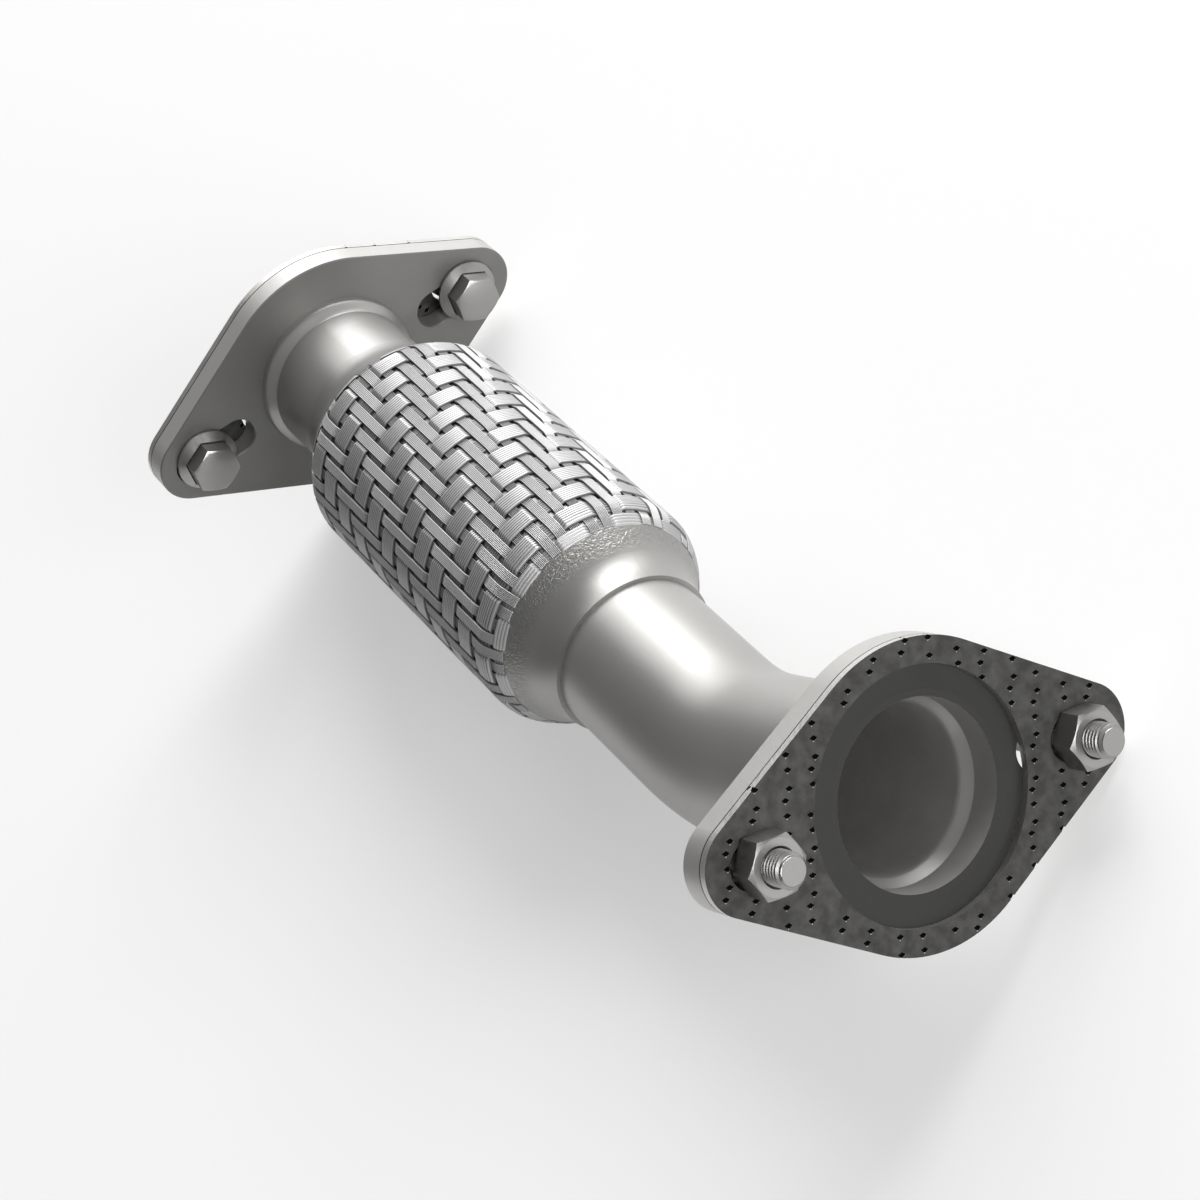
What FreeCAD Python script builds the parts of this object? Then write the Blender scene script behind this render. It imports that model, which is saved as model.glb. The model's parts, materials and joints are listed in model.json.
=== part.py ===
import FreeCAD, Part
import math
import os

# Exhaust front pipe with a braided flexible section, and at each end a two-bolt flange with
# its gasket, bolts and nuts. Lengths are in millimetres and angles in degrees.
#
# The pipe is drawn in its own axes: X runs along the flexible section, from the middle of the
# inlet flange's outer face, and the outlet leg bends towards +Y. What both ends have is drawn
# once, in an end's axes: X points out of the pipe, Y runs along the flange's long axis, and
# the flange's outer face is at X = 0. Last, all of it is turned to the pose in which it rests
# on a floor, with +Z up and the origin still at the inlet flange's outer face.

Vec = FreeCAD.Vector

same_place = 1e-6         # points this near to each other are one point

# Tube
tube_r = 25.4             # outer radius
tube_wall = 1.8
socket_growth = 2.8       # what the tube's radius gains at an expanded end
socket_depth = 9.4        # from the flange's outer face to where the tube starts to narrow
socket_slope = 4.2        # length over which it narrows
socket_corner_r = 2.2     # rounding where it starts to narrow, outside
socket_hollow_r = 0.6     # rounding where it ends

# Line of the pipe
flex_middle = 120.8       # from the inlet flange's outer face to the middle of the flexible section
bend_start = 242.0        # from the same face to the bend of the outlet leg
bend_r = 80.0
bend_angle = 24.2
outlet_leg = 65.2         # from the end of the bend to the outlet flange's outer face

# Flange
flange_thick = 8.0
flange_mid_r = 42.8       # round middle of the outline
lobe_r = 13.4             # round ends of the outline
lobe_at = 57.2            # centres of the round ends, from the middle
flange_edge = 0.4         # broken edges
slot_r = 6.5
slot_in = 40.7            # centre of a slot's inner round end, from the middle
slot_out = 58.0           # centre of its outer round end
inlet_clock_angle = -60.4   # of the flange's long axis, from the direction of the bend
outlet_clock_angle = -82.0

# Gasket
gasket_thick = 2.2
gasket_bore_r = 35.3
gasket_hole_r = 6.8
gasket_hole_in = 51.1     # centre of a bolt hole's inner round end, from the middle
gasket_hole_out = 56.1    # centre of its outer round end
tang_wide = 2.6           # pit where a tang of the steel core comes through, across its column
tang_steep = 0.7          # from the pit's middle to its steep end, along its column
tang_shallow = 1.15       # from its middle to the end where its floor rises to the face
tang_depth = 0.9          # at its steep end
tang_run = 11.87          # from one group of three pits to the next, along a column
tang_uneven = 0.86        # by which the first gap of a group is more than a third of the run
tang_drift = 0.6          # of each further pit of a group, sideways
tang_lean_angle = 13.1    # of the columns, from the flange's short axis
tang_tile = 18.28         # from a column to the next but one
tang_column_gap = 8.11    # from a column to its nearer neighbour
tang_column_lead = 4.3    # by which that neighbour's groups lie further along
tang_first_across = 1.48  # a group's first pit, from the middle of the gasket
tang_first_along = 1.82
tang_margin = 0.5         # least distance from a pit's middle to an edge

# Flexible section. A name that ends in half is a distance from its middle.
braid_half = 55.0         # where the braid starts to close in
braid_closing = 7.2       # length over which it closes in on an end cap
cap_growth = 10.7         # an end cap's largest radius, under the braid, less the tube's radius
cap_under = 8.0           # what the cap reaches under the straight part of the braid
cap_past = 1.0            # what its largest radius goes on for past that part
cap_slope = 24.0          # length over which it narrows to its neck
cap_shoulder_curve_r = 12.0    # round shoulder
cap_fillet_r = 18.8       # hollow curve into its neck
cap_wall = 1.4
neck_long = 0.6           # straight part of its neck
tube_inside = 18.6        # what each tube reaches into the section, from the neck's edge
cap_shoulder_r = tube_r + cap_growth
cap_shoulder_half = braid_half + cap_past
neck_start_half = cap_shoulder_half + cap_slope
neck_half = neck_start_half + neck_long
tube_half = neck_half - tube_inside

# Braid: straight bands along the pipe and hoops around it, each over two and under two
braid_wall = 1.5          # below the bands that lie on top
band_rise = 0.8
braid_end_wall = 0.9
braid_end_step = 0.3      # down to the part that closes in
hoop_pitch = 9.82
hoop_wide = 7.0
hoop_shift = 0.6          # of the hoops' middle from the section's middle
straight_count = 48
straight_wide = 3.7
straight_clock_angle = 8.95    # of the first straight band
weave_over = 2            # bands that each band passes over, and then under
float_gap = 0.4           # from the end of a band on top to the next band across
band_root = 0.4           # how deep a band is set into the wall

# Liner of interlocked strip, and the bellows around it
sleeve_lap = 6.0          # of their cuffs over the tube, and of the same length past its end
liner_wall = 0.9
liner_rise = 1.0          # of its raised turns
liner_turns = 20
liner_plain = 6.0         # from a cuff to the first turn
bellows_wall = 0.5
bellows_turns = 10
bellows_play = 1.3        # from the liner's raised turns
bellows_cap_play = 0.3    # from the inside of the end caps
bellows_slope = 8.0       # length over which a cuff widens to the first wave
bellows_slope_r = 5.0     # curves at both ends of that
sleeve_half = tube_half + sleeve_lap
cuff_half = tube_half - sleeve_lap

# Bolts and nuts
thread_r = 5.0
thread_play = 0.02
bolt_length = 25.0
bolt_at = 53.6            # from the middle of the flange
bolt_point = 1.0          # chamfer at its free end
head_flats = 15.0
head_height = 9.5
collar_r = 10.8
collar_edge = 1.6         # thickness of the collar at its rim
collar_slope = 1.8        # what it gains towards the hexagon
nut_flats = 16.0
nut_height = 8.4
nut_bore_bevel = 0.6
hex_bevel_angle = 30.0    # of the bevel on the corners of a hexagon
hex_bevel_cut = 0.24      # by which a bevelled end's round face is inside the flats


def sin(angle):
    return math.sin(math.radians(angle))


def cos(angle):
    return math.cos(math.radians(angle))


def tan(angle):
    return math.tan(math.radians(angle))


def outline(start, *moves):
    """Lines and arcs that end at the start. An arc is a point on it and its end."""
    edges = []
    here = start
    for move in moves:
        if isinstance(move, tuple):
            through, there = move
            edges.append(Part.Arc(here, through, there).toShape())
        else:
            there = move
            edges.append(Part.LineSegment(here, there).toShape())
        here = there
    if here.distanceToPoint(start) > same_place:
        edges.append(Part.LineSegment(here, start).toShape())
    return Part.Face(Part.Wire(edges))


def turned(face, angle=360):
    """A solid of revolution about X. The face lies in the plane of X and Y."""
    return face.revolve(Vec(), Vec(1, 0, 0), angle)


def ring(x_low, x_high, r_in, r_out):
    corners = [Vec(x_low, r_out), Vec(x_high, r_out), Vec(x_high, r_in)]
    return turned(outline(Vec(x_low, r_in), *corners))


def cone(start, start_r, end, end_r):
    """A slanting line between two lines along X, rounded where it leaves them, as moves of an outline."""
    along = math.copysign(1, end.x - start.x)
    across = math.copysign(1, end.y - start.y)
    length = abs(end.x - start.x)
    spare = start_r + end_r - abs(end.y - start.y)
    turn = math.asin((start_r + end_r) / math.hypot(length, spare)) - math.atan2(spare, length)
    angle = math.degrees(turn)

    def from_start(part):
        return start + Vec(along * sin(part) * start_r, across * (1 - cos(part)) * start_r)

    def from_end(part):
        return end - Vec(along * sin(part) * end_r, across * (1 - cos(part)) * end_r)

    return (from_start(angle / 2), from_start(angle)), from_end(angle), (from_end(angle / 2), end)


def tube_end(length):
    """The last straight length of a tube, expanded at the flange, in an end's axes."""
    socket_r = tube_r + socket_growth
    wide = Vec(-socket_depth, socket_r)
    narrow = Vec(-socket_depth - socket_slope, tube_r)
    outside = cone(wide, socket_corner_r, narrow, socket_hollow_r)
    bore_start = narrow - Vec(0, tube_wall)
    bore_end = wide - Vec(0, tube_wall)
    inside = cone(bore_start, socket_hollow_r + tube_wall, bore_end, socket_corner_r - tube_wall)
    return turned(outline(
        Vec(0, socket_r), wide, *outside,
        Vec(-length, tube_r), Vec(-length, tube_r - tube_wall),
        bore_start, *inside, Vec(0, socket_r - tube_wall)))


def tube_bend():
    section = Part.Face([
        Part.Wire(Part.makeCircle(tube_r, Vec(bend_start), Vec(1))),
        Part.Wire(Part.makeCircle(tube_r - tube_wall, Vec(bend_start), Vec(1)))])
    section.validate()
    return section.revolve(Vec(bend_start, bend_r), Vec(0, 0, 1), bend_angle)


def inlet_pipe():
    return placed(tube_end(flex_middle - tube_half), inlet_end())


def outlet_pipe():
    first = ring(flex_middle + tube_half, bend_start, tube_r - tube_wall, tube_r)
    last = placed(tube_end(outlet_leg), outlet_end())
    return first.fuse([tube_bend(), last]).removeSplitter()


def plate(thick, x_low):
    """The outline of a flange and its gasket: a round middle, and a round lobe on each side."""
    flank = math.degrees(math.acos((flange_mid_r - lobe_r) / lobe_at))

    def middle(angle):
        return Vec(x_low, flange_mid_r * cos(angle), flange_mid_r * sin(angle))

    def lobe(side, angle):
        return Vec(x_low, side * (lobe_at + lobe_r * cos(angle)), lobe_r * sin(angle))

    face = outline(
        middle(flank), lobe(1, flank), (lobe(1, 0), lobe(1, -flank)),
        middle(-flank), (middle(-90), middle(flank - 180)),
        lobe(-1, -flank), (lobe(-1, 0), lobe(-1, flank)),
        middle(180 - flank), (middle(90), middle(flank)))
    return face.extrude(Vec(thick))


def hole_pair(radius, centre_in, centre_out, thick, x_low):
    """A long hole in each lobe."""
    holes = []
    for side in (1, -1):
        ends = [
            Part.makeCylinder(radius, thick, Vec(x_low, side * at), Vec(1)) for at in (centre_in, centre_out)]
        length = centre_out - centre_in
        low = centre_in if side > 0 else -centre_out
        middle = Part.makeBox(thick, length, 2 * radius, Vec(x_low, low, -radius))
        holes.append(middle.fuse(ends).removeSplitter())
    return holes


def flange():
    body = plate(flange_thick, -flange_thick)
    body = body.cut(hole_pair(slot_r, slot_in, slot_out, flange_thick, -flange_thick))
    rims = [edge for edge in body.Edges if edge.BoundBox.XLength < flange_edge]
    body = body.makeChamfer(flange_edge, rims)
    bore = Part.makeCylinder(tube_r + socket_growth, flange_thick, Vec(-flange_thick), Vec(1))
    return body.cut(bore)


def gasket_blank():
    window = Part.makeCylinder(gasket_bore_r, gasket_thick, Vec(), Vec(1))
    holes = hole_pair(gasket_hole_r, gasket_hole_in, gasket_hole_out, gasket_thick, 0)
    return plate(gasket_thick, 0).cut([window] + holes)


def tang_centres():
    """Columns of pits over the gasket's face, in groups of three, with their middles clear of its edges."""
    blank = gasket_blank()
    half_way = Vec(gasket_thick / 2)
    rims = Part.Compound([edge for edge in blank.Edges if edge.BoundBox.XMax < half_way.x])
    along = Vec(0, sin(tang_lean_angle), cos(tang_lean_angle))
    across = Vec(0, cos(tang_lean_angle), -sin(tang_lean_angle))
    reach = lobe_at + lobe_r
    tiles = math.ceil(reach / tang_tile)
    runs = math.ceil(reach / tang_run)
    group_pits = 3
    centres = []
    for tile in range(-tiles, tiles):
        for lead, gap in ((0, 0), (tang_column_lead, tang_column_gap)):
            for group in range(-runs, runs):
                for pit in range(group_pits):
                    further = pit * tang_run / group_pits + (tang_uneven if pit else 0)
                    over = tang_first_across + tile * tang_tile - gap - pit * tang_drift
                    centre = across * over + along * (tang_first_along + lead + group * tang_run + further)
                    if blank.isInside(centre + half_way, same_place, False):
                        if rims.distToShape(Part.Vertex(centre))[0] > tang_margin:
                            centres.append(centre)
    return centres


def tang_pit():
    """A diamond pit below the plane of Y and Z, steep at its +Z end, with a floor that rises to its -Z end."""
    steep_end = Vec(0, 0, tang_steep)
    shallow_end = Vec(0, 0, -tang_shallow)
    side = Vec(0, tang_wide / 2)
    prism = outline(steep_end, side, shallow_end, side * -1).extrude(Vec(-tang_depth))
    deep_end = steep_end - Vec(tang_depth)
    low_end = shallow_end - Vec(tang_depth)
    under = outline(shallow_end, deep_end, low_end)
    under.translate(side * -1)
    return prism.cut(under.extrude(side * 2))


def gasket():
    pit = tang_pit()
    pit.rotate(Vec(), Vec(1), -tang_lean_angle)
    far_pit = pit.mirror(Vec(), Vec(1))
    pits = []
    for centre in tang_centres():
        for shape, level in ((pit, gasket_thick), (far_pit, 0)):
            copy = shape.copy()
            copy.translate(centre + Vec(level))
            pits.append(copy)
    return gasket_blank().cut(pits)


def end_cap():
    """The cap at the outlet side of the flexible section, with X from the section's middle."""
    rim_half = braid_half - cap_under
    neck_end = Vec(neck_start_half, tube_r + cap_wall)
    shoulder = Vec(cap_shoulder_half, cap_shoulder_r)
    outside = cone(neck_end, cap_fillet_r, shoulder, cap_shoulder_curve_r)
    inner_neck_end = neck_end - Vec(0, cap_wall)
    inner_shoulder = shoulder - Vec(0, cap_wall)
    inside = cone(inner_shoulder, cap_shoulder_curve_r - cap_wall, inner_neck_end, cap_fillet_r + cap_wall)
    return turned(outline(
        Vec(neck_half, tube_r), Vec(neck_half, tube_r + cap_wall), neck_end, *outside,
        Vec(rim_half, cap_shoulder_r), Vec(rim_half, cap_shoulder_r - cap_wall),
        inner_shoulder, *inside))


def cap_surface(half):
    """A point on the cap's round shoulder, under the braid's end."""
    level = math.sqrt(cap_shoulder_curve_r ** 2 - (half - cap_shoulder_half) ** 2)
    return Vec(half, cap_shoulder_r - cap_shoulder_curve_r + level)


def braid_section(radius, first, count, depth=None):
    """The braid's flat sides, from one corner on. Without a depth they go all round."""
    pitch_angle = 360 / straight_count
    corners = count + (depth is not None)
    angles = [straight_clock_angle + (first + n - 0.5) * pitch_angle for n in range(corners)]
    points = [Vec(0, radius * cos(angle), radius * sin(angle)) for angle in angles]
    if depth is not None:
        points += [point * ((radius - depth) / radius) for point in (points[-1], points[0])]
    return outline(*points)


def braid_end():
    """The braid's end at the outlet side, where it closes in on the cap."""
    end_half = braid_half + braid_closing
    rim = cap_surface(end_half)
    between = cap_surface((end_half + cap_shoulder_half) / 2)
    shoulder = cap_surface(cap_shoulder_half)
    rim_top = rim + Vec(0, braid_end_wall)
    start = Vec(braid_half, cap_shoulder_r)
    start_top = start + Vec(0, braid_wall - braid_end_step)
    return turned(outline(start, shoulder, (between, rim), rim_top, start_top))


def lengthwise(face, x_low, x_high):
    """A section run along X, no further than where the braid closes in."""
    low = max(x_low, -braid_half)
    high = min(x_high, braid_half)
    face.translate(Vec(low))
    return face.extrude(Vec(high - low))


def outer_braid():
    """A wall with a flat side under each straight band, and the stretches of band that lie on top."""
    base_r = cap_shoulder_r + braid_wall
    top_r = base_r + band_rise
    repeat = 2 * weave_over
    half_long = ((weave_over + 1) * hoop_pitch - hoop_wide) / 2 - float_gap
    flat = cos(180 / straight_count)
    last_hoop = int(braid_half / hoop_pitch)
    bands = [braid_end(), placed(braid_end(), FreeCAD.Placement(Vec(), FreeCAD.Rotation(Vec(0, 0, 1), 180)))]
    for hoop in range(-last_hoop - repeat, last_hoop + repeat):
        hoop_at = (hoop + 0.5) * hoop_pitch + hoop_shift
        straight_at = hoop_at + (weave_over - 1) * hoop_pitch / 2
        for straight in range(straight_count):
            phase = (straight - hoop) % repeat
            if phase == 0 and abs(hoop_at) < braid_half:
                section = braid_section(top_r, straight, weave_over, band_rise + band_root)
                bands.append(lengthwise(section, hoop_at - hoop_wide / 2, hoop_at + hoop_wide / 2))
            if phase == repeat - 1 and abs(straight_at) - half_long < braid_half - float_gap:
                low = Vec(0, base_r * flat - band_root, -straight_wide / 2)
                high = Vec(0, top_r * flat, straight_wide / 2)
                section = outline(low, Vec(0, high.y, low.z), high, Vec(0, low.y, high.z))
                section.rotate(Vec(), Vec(1), straight_clock_angle + straight * 360 / straight_count)
                bands.append(lengthwise(section, straight_at - half_long, straight_at + half_long))
    wall = lengthwise(braid_section(base_r, 0, straight_count), -braid_half, braid_half)
    wall = wall.cut(Part.makeCylinder(cap_shoulder_r, 2 * braid_half, Vec(-braid_half), Vec(1)))
    return wall.fuse(bands).removeSplitter()


def bellows():
    """A wall of round waves with a cuff at each end that fits over the liner's cuff."""
    cuff_r = tube_r + liner_wall
    root_r = tube_r + liner_wall + liner_rise + bellows_play
    top_r = cap_shoulder_r - cap_wall - bellows_cap_play
    wave_half = cuff_half - bellows_slope
    pitch = 2 * wave_half / bellows_turns

    def side(above):
        """The outer (1) or inner (-1) surface, from the inlet side to the outlet side."""
        crest_r = pitch / 4 + above * bellows_wall / 2
        valley_r = pitch / 4 - above * bellows_wall / 2
        level = bellows_wall * (1 + above) / 2
        crest_top = top_r - bellows_wall + level
        valley_low = root_r + level
        cuff = cuff_r + level
        hollow_r = bellows_slope_r - above * bellows_wall / 2
        bulge_r = bellows_slope_r + above * bellows_wall / 2
        cuff_end = Vec(-cuff_half, cuff)
        first_wave = Vec(-wave_half, valley_low)
        moves = [Vec(-sleeve_half, cuff), cuff_end, *cone(cuff_end, hollow_r, first_wave, bulge_r)]
        for turn in range(bellows_turns):
            start = -wave_half + turn * pitch
            middle = start + pitch / 2
            end = start + pitch
            bow = valley_r * (1 - cos(45))
            cut = valley_r * sin(45)
            moves.append((Vec(start + cut, valley_low + bow), Vec(start + valley_r, valley_low + valley_r)))
            moves.append(Vec(middle - crest_r, crest_top - crest_r))
            moves.append((Vec(middle, crest_top), Vec(middle + crest_r, crest_top - crest_r)))
            moves.append(Vec(end - valley_r, valley_low + valley_r))
            moves.append((Vec(end - cut, valley_low + bow), Vec(end, valley_low)))
        last_wave = Vec(wave_half, valley_low)
        cuff_start = Vec(cuff_half, cuff)
        return moves + [*cone(last_wave, bulge_r, cuff_start, hollow_r), Vec(sleeve_half, cuff)]

    outer = side(1)
    back = reversed_moves(side(-1))
    return turned(outline(outer[0], *outer[1:], *back))


def reversed_moves(moves):
    """The same line from its other end."""
    back = []
    ends = [move[1] if isinstance(move, tuple) else move for move in moves]
    back.append(ends[-1])
    for number in range(len(moves) - 1, 0, -1):
        move = moves[number]
        back.append((move[0], ends[number - 1]) if isinstance(move, tuple) else ends[number - 1])
    return back


def liner():
    """A tube whose turns stand in and out by turns, as interlocked strip does."""
    def side(level):
        points = [Vec(-sleeve_half, tube_r + level)]
        pitch = 2 * (cuff_half - liner_plain) / liner_turns
        first = -liner_turns * pitch / 2
        for turn in range(liner_turns):
            start = first + (turn + 0.25) * pitch + liner_wall / 2 * (1 if level == 0 else -1)
            end = first + (turn + 0.75) * pitch - liner_wall / 2 * (1 if level == 0 else -1)
            low = tube_r + level
            points += [Vec(start, low), Vec(start, low + liner_rise), Vec(end, low + liner_rise), Vec(end, low)]
        return points + [Vec(sleeve_half, tube_r + level)]

    outer = side(liner_wall)
    inner = side(0)
    return turned(outline(outer[0], *outer[1:], *reversed_moves(inner)))


def hexagon(flats, x_low, height, bevel_low, bevel_high):
    """A hexagonal prism about X, with its corners bevelled at one end or both."""
    corner_r = flats / 2 / cos(30)
    corners = [Vec(x_low, corner_r * cos(60 * n), corner_r * sin(60 * n)) for n in range(6)]
    prism = outline(*corners).extrude(Vec(height))
    face_r = flats / 2 - hex_bevel_cut
    drop = (corner_r - face_r) * tan(hex_bevel_angle)
    x_high = x_low + height
    points = [Vec(x_low, 0)]
    points += [Vec(x_low, face_r), Vec(x_low + drop, corner_r)] if bevel_low else [Vec(x_low, corner_r)]
    points += [Vec(x_high - drop, corner_r), Vec(x_high, face_r)] if bevel_high else [Vec(x_high, corner_r)]
    points += [Vec(x_high, 0)]
    return prism.common(turned(outline(*points)))


def bolt():
    """A flange bolt along X. The underside of its head is at X = 0."""
    shank = turned(outline(
        Vec(-collar_edge, 0), Vec(-collar_edge, collar_r), Vec(0, collar_r), Vec(0, thread_r),
        Vec(bolt_length - bolt_point, thread_r), Vec(bolt_length, thread_r - bolt_point), Vec(bolt_length, 0)))
    hex_r = head_flats / 2
    cone = turned(outline(
        Vec(-collar_edge, 0), Vec(-collar_edge, collar_r), Vec(-collar_edge - collar_slope, hex_r),
        Vec(-collar_edge - collar_slope, 0)))
    head = hexagon(head_flats, -head_height, head_height - collar_edge, True, False)
    return shank.fuse([cone, head]).removeSplitter()


def nut():
    """A plain nut along X, with its inner face at X = 0."""
    body = hexagon(nut_flats, 0, nut_height, True, True)
    bore_r = thread_r + thread_play
    mouth_r = bore_r + nut_bore_bevel
    bore = turned(outline(
        Vec(0, 0), Vec(0, mouth_r), Vec(nut_bore_bevel, bore_r), Vec(nut_height - nut_bore_bevel, bore_r),
        Vec(nut_height, mouth_r), Vec(nut_height, 0)))
    return body.cut(bore)


def end_axes(centre, out, across, clock):
    """An end's axes. The long axis is turned by clock from the direction across."""
    side = out.cross(across)
    long_axis = across * cos(clock) + side * sin(clock)
    return FreeCAD.Placement(centre, FreeCAD.Rotation(out, long_axis, out.cross(long_axis), "XYZ"))


def inlet_end():
    return end_axes(Vec(), Vec(-1), Vec(0, 1), -inlet_clock_angle)


def outlet_end():
    out = Vec(cos(bend_angle), sin(bend_angle))
    across = Vec(-sin(bend_angle), cos(bend_angle))
    bend_end = Vec(bend_start + bend_r * sin(bend_angle), bend_r * (1 - cos(bend_angle)))
    return end_axes(bend_end + out * outlet_leg, out, across, outlet_clock_angle)


def placed(shape, placement):
    """A copy of a shape, moved by the placement."""
    return shape.transformed(placement.toMatrix())


def section_placement(half_turn=False):
    """The middle of the flexible section, facing the outlet, or the inlet after half a turn."""
    return FreeCAD.Placement(Vec(flex_middle), FreeCAD.Rotation(Vec(0, 0, 1), 180 if half_turn else 0))


def flange_reach(axes, down):
    """How far a flange reaches in the direction down."""
    out = axes.Rotation.multVec(Vec(1))
    long_axis = axes.Rotation.multVec(Vec(0, 1))
    in_plane = (down - out * down.dot(out)).Length
    plate_reach = max(lobe_at * abs(down.dot(long_axis)) + lobe_r * in_plane, flange_mid_r * in_plane)
    face_reach = max(-flange_edge * down.dot(out), -(flange_thick - flange_edge) * down.dot(out))
    return down.dot(axes.Base) + face_reach + plate_reach


def resting_down():
    """The direction of the floor. The pipe lies on its inlet flange, its braid and its outlet flange."""
    braid_r = cap_shoulder_r + braid_wall + band_rise
    braid_x = flex_middle + braid_half
    flange_x = flange_thick - flange_edge
    pitch = math.degrees(math.atan((flange_mid_r - braid_r) / (braid_x - flange_x)))

    def down_at(roll):
        return Vec(sin(pitch), -cos(pitch) * cos(roll), -cos(pitch) * sin(roll))

    def clearance(roll):
        down = down_at(roll)
        floor = down.x * flange_x + cos(pitch) * flange_mid_r
        return floor - flange_reach(outlet_end(), down)

    low, high = 0.0, 90.0
    while high - low > same_place ** 2:
        roll = (low + high) / 2
        if (clearance(roll) > 0) == (clearance(low) > 0):
            low = roll
        else:
            high = roll
    return down_at(low)


def resting():
    """From the pipe's own axes to the pose in which it rests."""
    up = resting_down() * -1
    forward = (Vec(1) - up * up.x).normalize()
    axes = FreeCAD.Rotation(forward, up.cross(forward), up, "ZXY")
    return FreeCAD.Placement(Vec(), axes.inverted())


def pieces():
    """Every piece, in the pipe's own axes."""
    flange_shape = flange()
    gasket_shape = gasket()
    bolt_shape = bolt()
    nut_shape = nut()
    cap_shape = end_cap()
    made = {"inlet_pipe": inlet_pipe(), "outlet_pipe": outlet_pipe()}
    for end, axes in (("inlet", inlet_end()), ("outlet", outlet_end())):
        made[end + "_flange"] = placed(flange_shape, axes)
        made[end + "_gasket"] = placed(gasket_shape, axes)
        for number, side in ((1, 1), (2, -1)):
            under_head = FreeCAD.Placement(Vec(-flange_thick, side * bolt_at), FreeCAD.Rotation())
            on_gasket = FreeCAD.Placement(Vec(gasket_thick, side * bolt_at), FreeCAD.Rotation())
            made[f"{end}_bolt_{number}"] = placed(placed(bolt_shape, under_head), axes)
            made[f"{end}_nut_{number}"] = placed(placed(nut_shape, on_gasket), axes)
    made["outlet_end_cap"] = placed(cap_shape, section_placement())
    made["inlet_end_cap"] = placed(cap_shape, section_placement(True))
    for name, shape in (("outer_braid", outer_braid()), ("bellows", bellows()), ("liner", liner())):
        made[name] = placed(shape, section_placement())
    return made


def main():
    os.makedirs("parts", exist_ok=True)
    rest = resting()
    for name, shape in pieces().items():
        placed(shape, rest).exportStep(f"parts/{name}.step")


main()
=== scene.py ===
import json
import math
import bmesh
import bpy
from mathutils import Matrix, Vector
from mathutils.bvhtree import BVHTree


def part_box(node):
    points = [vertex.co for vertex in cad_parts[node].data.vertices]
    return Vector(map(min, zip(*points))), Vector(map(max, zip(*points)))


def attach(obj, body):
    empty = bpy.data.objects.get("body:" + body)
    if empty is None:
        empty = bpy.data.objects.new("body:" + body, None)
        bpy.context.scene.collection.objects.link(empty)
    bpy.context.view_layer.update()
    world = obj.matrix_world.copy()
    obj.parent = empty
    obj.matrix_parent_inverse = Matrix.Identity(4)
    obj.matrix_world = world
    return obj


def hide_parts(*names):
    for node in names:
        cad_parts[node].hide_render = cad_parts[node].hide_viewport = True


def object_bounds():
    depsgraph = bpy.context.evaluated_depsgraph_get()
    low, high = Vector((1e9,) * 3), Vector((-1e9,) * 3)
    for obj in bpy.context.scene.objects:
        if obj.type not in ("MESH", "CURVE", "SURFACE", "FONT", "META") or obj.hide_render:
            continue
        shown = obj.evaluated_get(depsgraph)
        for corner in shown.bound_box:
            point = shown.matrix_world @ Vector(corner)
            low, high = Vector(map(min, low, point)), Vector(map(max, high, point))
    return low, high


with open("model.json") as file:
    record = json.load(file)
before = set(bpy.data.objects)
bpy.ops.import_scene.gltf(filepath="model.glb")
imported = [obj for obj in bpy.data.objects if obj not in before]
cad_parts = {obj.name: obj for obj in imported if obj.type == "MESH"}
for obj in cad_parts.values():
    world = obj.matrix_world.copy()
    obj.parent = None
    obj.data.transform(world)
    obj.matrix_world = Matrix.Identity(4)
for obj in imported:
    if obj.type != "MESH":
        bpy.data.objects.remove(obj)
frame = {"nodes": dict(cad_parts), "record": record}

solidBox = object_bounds()
nodes = frame["nodes"]
mounts = {mount["name"]: mount for mount in frame["record"]["mounts"]}
millimetres = Matrix.Scale(0.001, 4)
weldGap = 1e-6    # metres


def boxMiddle(node):
    low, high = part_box(node)
    return (low + high) / 2


# The pipe's own axes: along the flexible section, and to the side that the outlet leg bends to
inletOut = Vector(mounts["inlet_bore"]["axis"]).normalized()
outletOut = Vector(mounts["outlet_bore"]["axis"]).normalized()
alongPipe = -inletOut
bendSide = (outletOut - alongPipe * outletOut.dot(alongPipe)).normalized()


def axesMatrix(place, first, second):
    third = first.cross(second)
    turn = Matrix((first, second, third)).transposed().to_4x4()
    return Matrix.Translation(place) @ turn


flexSection = axesMatrix(boxMiddle("outer_braid"), alongPipe, bendSide) @ millimetres
print("frame loaded,", len(nodes), "nodes")


# Shader groups

def newGroup(name, inputs, outputs):
    group = bpy.data.node_groups.new(name, "ShaderNodeTree")
    for label, kind, value in inputs:
        socket = group.interface.new_socket(name=label, in_out="INPUT", socket_type=kind)
        socket.default_value = value
    for label, kind in outputs:
        group.interface.new_socket(name=label, in_out="OUTPUT", socket_type=kind)
    return group, group.nodes.new("NodeGroupInput"), group.nodes.new("NodeGroupOutput")


def addNode(tree, kind, **values):
    node = tree.nodes.new(kind)
    for name, value in values.items():
        setattr(node, name, value)
    return node


def mathNode(tree, operation, first, second):
    node = addNode(tree, "ShaderNodeMath", operation=operation)
    for socket, value in zip(node.inputs, (first, second)):
        if isinstance(value, bpy.types.NodeSocket):
            tree.links.new(value, socket)
        else:
            socket.default_value = value
    return node.outputs[0]


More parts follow.
